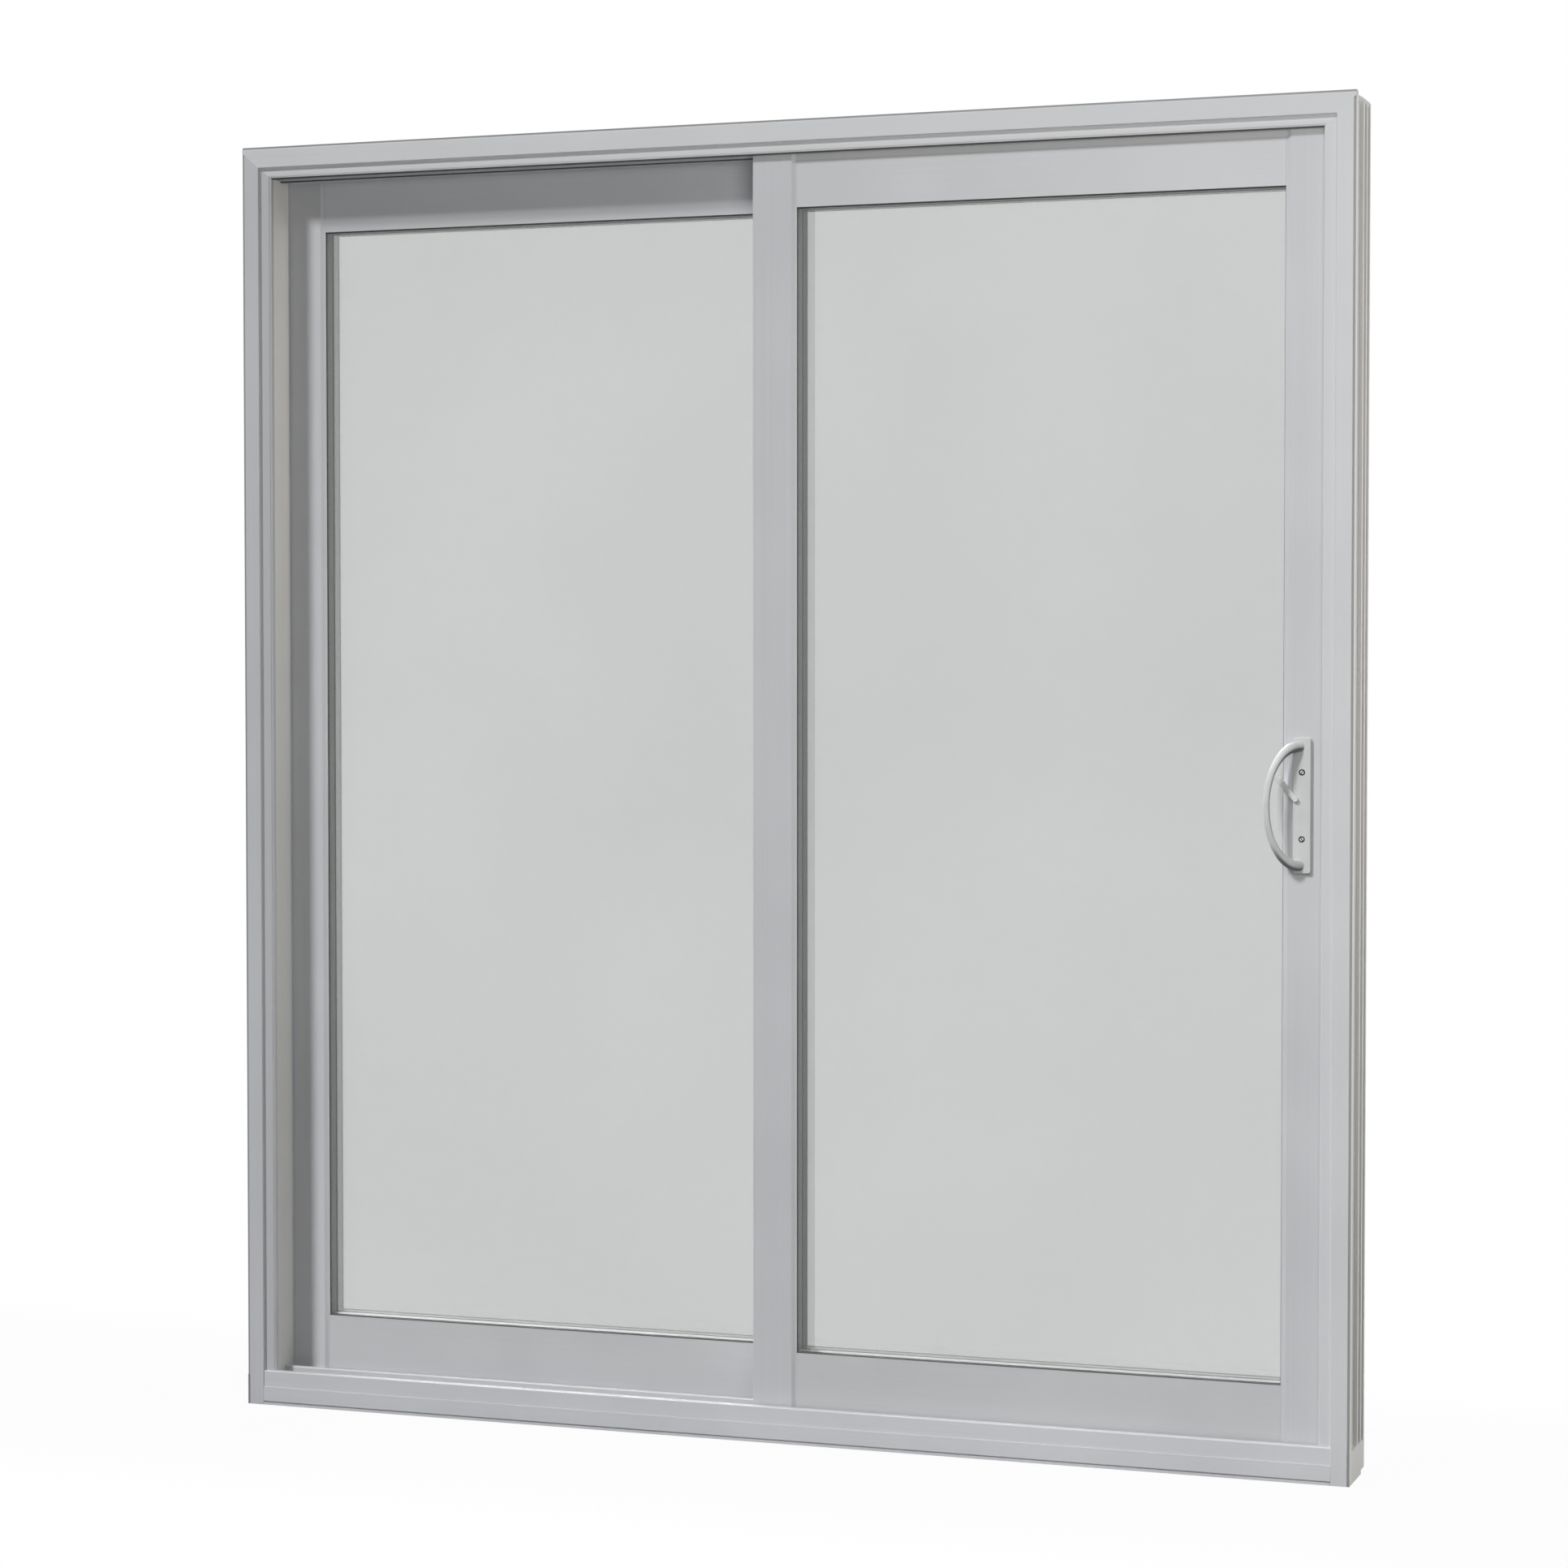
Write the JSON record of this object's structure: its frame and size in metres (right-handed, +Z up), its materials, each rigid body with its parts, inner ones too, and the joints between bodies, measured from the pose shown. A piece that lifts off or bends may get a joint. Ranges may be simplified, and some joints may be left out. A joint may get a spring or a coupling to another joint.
{
  "type": "glass sliding patio door",
  "caption": "Sliding patio door with a fixed and a sliding double-glazed panel in a deep white frame, with a bowed pull handle and a thumb latch lever.",
  "frame": {"origin": "middle of the sill's flat underside: midway along the width and midway through the frame's depth", "axes": "+X to the right seen from the room, +Y towards the garden, +Z up"},
  "size_m": [1.79, 0.1444, 2.019],
  "materials": {
    "vinyl": "smooth satin vinyl",
    "glass": "clear float glass",
    "spacer": "mill-finish spacer bar",
    "gasket": "black glazing rubber",
    "handle": "satin white enamel",
    "steel": "brushed stainless",
    "track": "white coated aluminium",
    "roller": "moulded nylon"
  },
  "bodies": {
    "frame": {"sill": "vinyl", "sill_track": "track", "head_jamb": "vinyl", "left_jamb": "vinyl", "right_jamb": "vinyl", "left_sill_end": "vinyl", "right_sill_end": "vinyl", "left_jamb_cover": "vinyl", "lock_keeper": "steel", "fixed_jamb_stile": "vinyl", "fixed_meeting_stile": "vinyl", "fixed_top_rail": "vinyl", "fixed_bottom_rail": "vinyl", "fixed_inner_glass": "glass", "fixed_outer_glass": "glass", "fixed_spacer": "spacer", "fixed_inner_gasket": "gasket", "fixed_outer_gasket": "gasket", "fixed_interlock": "vinyl"},
    "sliding_panel": {"sliding_meeting_stile": "vinyl", "sliding_lock_stile": "vinyl", "inner_handle_plate": "handle", "inner_pull": "handle", "outer_handle_plate": "handle", "outer_pull": "handle", "lock_faceplate": "steel", "roller_carriages": "steel", "roller_wheels": "roller", "sliding_top_rail": "vinyl", "sliding_bottom_rail": "vinyl", "sliding_inner_glass": "glass", "sliding_outer_glass": "glass", "sliding_spacer": "spacer", "sliding_inner_gasket": "gasket", "sliding_outer_gasket": "gasket", "sliding_interlock": "vinyl"},
    "latch": {"latch_lever": "handle"}
  },
  "joints": [
    {"name": "panel_slide", "type": "slide", "parent": "frame", "child": "sliding_panel", "axis": [-1, 0, 0], "range_m": [0, 0.71]},
    {"name": "latch_turn", "type": "hinge", "parent": "sliding_panel", "child": "latch", "pos_m": [0.8093, -0.045, 0.998], "axis": [0, -1, 0], "range_deg": [0, 90]}
  ]
}
